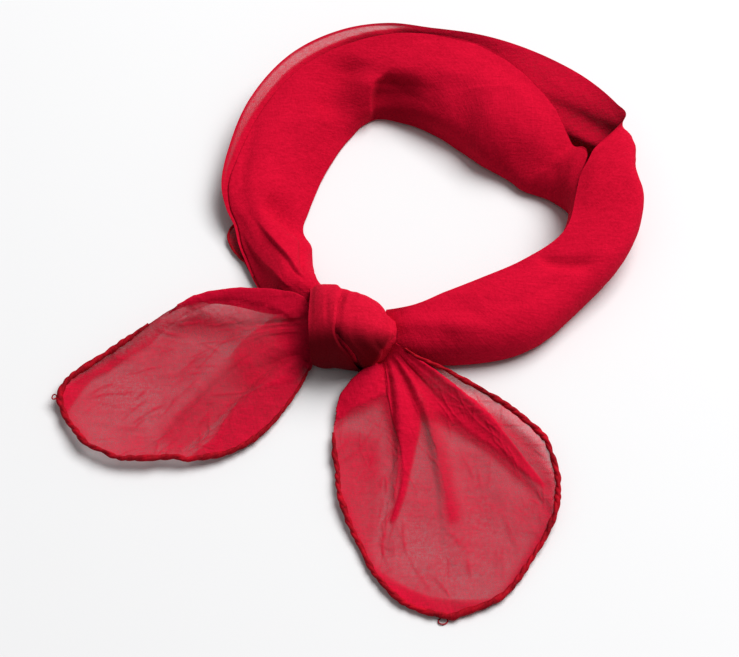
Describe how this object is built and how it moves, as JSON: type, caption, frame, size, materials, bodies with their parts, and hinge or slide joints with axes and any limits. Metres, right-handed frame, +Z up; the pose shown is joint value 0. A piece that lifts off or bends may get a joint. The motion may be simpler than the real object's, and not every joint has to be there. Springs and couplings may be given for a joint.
{
  "type": "square scarf",
  "caption": "Sheer square scarf, folded to a band and tied in a knot, laid down as a ring with two leaf-shaped tails and rolled hems.",
  "frame": {"origin": "centre of the whole part's outline seen from above, on the surface that it lies on", "axes": "+Z up, away from the surface; +Y away from the tails, across the ring from the knot; +X to the right of someone who looks along +Y, towards the side where the right tail lies"},
  "size_m": [0.2638, 0.3087, 0.0317],
  "materials": {
    "folded_cloth": "several plies of sheer red chiffon, matt with a soft sheen",
    "knot_cloth": "bunched sheer red chiffon, matt",
    "sheer_cloth": "one to three plies of sheer red chiffon, matt",
    "rolled_hem": "tightly rolled and stitched edge of the same chiffon, matt"
  },
  "bodies": {
    "root": {"neck_band": "folded_cloth", "knot_core": "knot_cloth", "knot_side_turn": "knot_cloth", "knot_wrap": "knot_cloth", "tail_right": "sheer_cloth", "hem_right": "rolled_hem", "tail_left": "sheer_cloth", "hem_left": "rolled_hem"}
  },
  "joints": []
}
